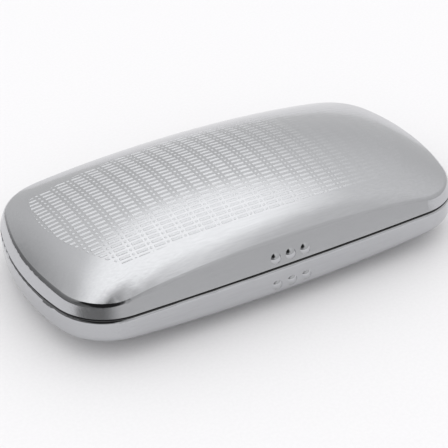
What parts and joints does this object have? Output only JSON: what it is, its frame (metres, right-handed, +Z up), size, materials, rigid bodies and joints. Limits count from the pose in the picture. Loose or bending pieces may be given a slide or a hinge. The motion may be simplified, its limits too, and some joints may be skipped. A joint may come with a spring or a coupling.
{
  "type": "eyeglasses case",
  "caption": "Pillow-shaped metal clamshell case for eyeglasses, with sprung rear hinges, flocked lining trays, black rim frames and pressed grip dimples at the front.",
  "frame": {"origin": "centre of the flat underside, on the floor, midway along the length and midway between the front and rear faces of the shells", "axes": "+X along the case's length, +Y from the front to the hinges, +Z up out of the lid"},
  "size_m": [0.16, 0.0852, 0.0353],
  "materials": {
    "satin_aluminium": "satin, finely brushed along the length, with an etched dash and dot pattern on the lid",
    "black_plastic": "fine matt",
    "foam": "soft closed-cell foam",
    "flocking": "short black flock",
    "steel": "nickel-plated, satin",
    "spring_steel": "drawn wire"
  },
  "bodies": {
    "base": {"base_shell": "satin_aluminium", "base_frame": "black_plastic", "base_pad": "foam", "base_tray": "flocking", "base_rivets": "steel", "base_leaf_left": "steel", "base_leaf_right": "steel", "hinge_pin_left": "steel", "hinge_pin_right": "steel", "hinge_spring_left": "spring_steel", "hinge_spring_right": "spring_steel"},
    "lid": {"lid_shell": "satin_aluminium", "lid_frame": "black_plastic", "lid_pad": "foam", "lid_tray": "flocking", "lid_rivets": "steel", "lid_leaf_left": "steel", "lid_leaf_right": "steel"}
  },
  "joints": [
    {"name": "lid_hinge", "type": "hinge", "parent": "base", "child": "lid", "pos_m": [0, 0.04111, 0.01684], "axis": [-1, 0, 0], "range_deg": [0, 100], "stiffness_Nm_per_rad": 0.02, "springref_deg": -45.84, "deforming": ["hinge_spring_left", "hinge_spring_right"]}
  ]
}
